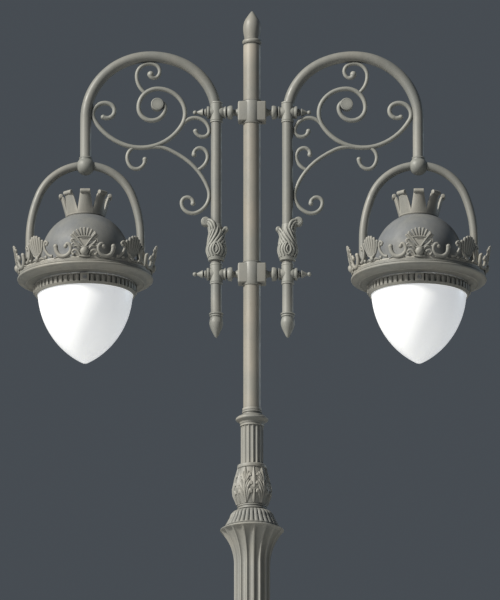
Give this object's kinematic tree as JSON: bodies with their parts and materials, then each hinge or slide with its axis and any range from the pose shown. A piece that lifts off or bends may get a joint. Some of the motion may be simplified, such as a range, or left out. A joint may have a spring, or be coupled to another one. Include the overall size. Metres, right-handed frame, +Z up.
{
  "type": "street lamp post",
  "caption": "Ornamental street lamp post: fluted column on a pedestal, two scrolled arched arms, each with a domed lantern and an opal globe that hinges open.",
  "frame": {"origin": "centre of the base plate's underside, on the ground", "axes": "+Z up the pole, +X towards the right-hand lamp, -Y towards the front with the access door"},
  "size_m": [2.0855, 0.6338, 4.543],
  "materials": {
    "post_casting": "satin grey paint on cast iron",
    "painted_tube": "satin grey paint on steel tube and bar",
    "arm_casting": "satin grey paint on small castings",
    "lamp_casting": "satin grey paint on cast aluminium",
    "dome_casting": "smooth darker grey paint on spun and cast aluminium",
    "bare_steel": "zinc-plated steel",
    "black_moulding": "moulded black plastic",
    "white_ceramic": "glazed white",
    "bulb_glass": "frosted glass",
    "gasket_rubber": "moulded rubber",
    "opal_globe": "opal acrylic, lit from inside"
  },
  "bodies": {
    "post": {"base_plate": "post_casting", "pedestal": "post_casting", "door_hinge_pins": "bare_steel", "fuse_box": "black_moulding", "fluted_column": "post_casting", "gadroon_ring": "post_casting", "leaf_vase": "post_casting", "fluted_neck": "post_casting", "neck_set_screws": "bare_steel", "pole_tube": "painted_tube", "pole_finial": "arm_casting", "upper_clamp": "arm_casting", "lower_clamp": "arm_casting", "clamp_screws": "bare_steel", "spindles": "arm_casting", "spindle_finials": "arm_casting", "arm_collars": "arm_casting", "left_arm_tube": "painted_tube", "left_main_scroll": "painted_tube", "left_lower_scroll": "painted_tube", "left_leaf_sleeve": "arm_casting", "left_arm_finial": "arm_casting", "left_ball_joint": "arm_casting", "left_yoke": "painted_tube", "left_vent_crown": "dome_casting", "left_dome": "dome_casting", "left_flange": "lamp_casting", "left_crown_ornament": "lamp_casting", "left_gear_tray": "bare_steel", "left_gear_box": "black_moulding", "left_lamp_holder": "white_ceramic", "left_lamp_bulb": "bulb_glass", "left_hinge_pin": "bare_steel", "right_arm_tube": "painted_tube", "right_main_scroll": "painted_tube", "right_lower_scroll": "painted_tube", "right_leaf_sleeve": "arm_casting", "right_arm_finial": "arm_casting", "right_ball_joint": "arm_casting", "right_yoke": "painted_tube", "right_vent_crown": "dome_casting", "right_dome": "dome_casting", "right_flange": "lamp_casting", "right_crown_ornament": "lamp_casting", "right_gear_tray": "bare_steel", "right_gear_box": "black_moulding", "right_lamp_holder": "white_ceramic", "right_lamp_bulb": "bulb_glass", "right_hinge_pin": "bare_steel"},
    "door": {"access_door": "post_casting"},
    "door_lock": {"door_lock": "bare_steel"},
    "left_globe_frame": {"left_globe_ring": "lamp_casting", "left_globe_gasket": "gasket_rubber", "left_globe": "opal_globe"},
    "left_catch": {"left_catch": "bare_steel"},
    "right_globe_frame": {"right_globe_ring": "lamp_casting", "right_globe_gasket": "gasket_rubber", "right_globe": "opal_globe"},
    "right_catch": {"right_catch": "bare_steel"}
  },
  "joints": [
    {"name": "door_hinge", "type": "hinge", "parent": "post", "child": "door", "pos_m": [0.062, -0.152, 0.34], "axis": [0, 0, 1], "range_deg": [0, 110]},
    {"name": "door_lock_turn", "type": "hinge", "parent": "door", "child": "door_lock", "pos_m": [-0.036, -0.148, 0.34], "axis": [0, -1, 0], "range_deg": [0, 90]},
    {"name": "left_globe_hinge", "type": "hinge", "parent": "post", "child": "left_globe_frame", "pos_m": [-0.72581, 0.236, 3.288], "axis": [1, 0, 0], "range_deg": [0, 95]},
    {"name": "left_catch_turn", "type": "hinge", "parent": "left_globe_frame", "child": "left_catch", "pos_m": [-0.72581, -0.215, 3.275], "axis": [0, -1, 0], "range_deg": [0, 90]},
    {"name": "right_globe_hinge", "type": "hinge", "parent": "post", "child": "right_globe_frame", "pos_m": [0.72581, 0.236, 3.288], "axis": [1, 0, 0], "range_deg": [0, 95]},
    {"name": "right_catch_turn", "type": "hinge", "parent": "right_globe_frame", "child": "right_catch", "pos_m": [0.72581, -0.215, 3.275], "axis": [0, -1, 0], "range_deg": [0, 90]}
  ]
}
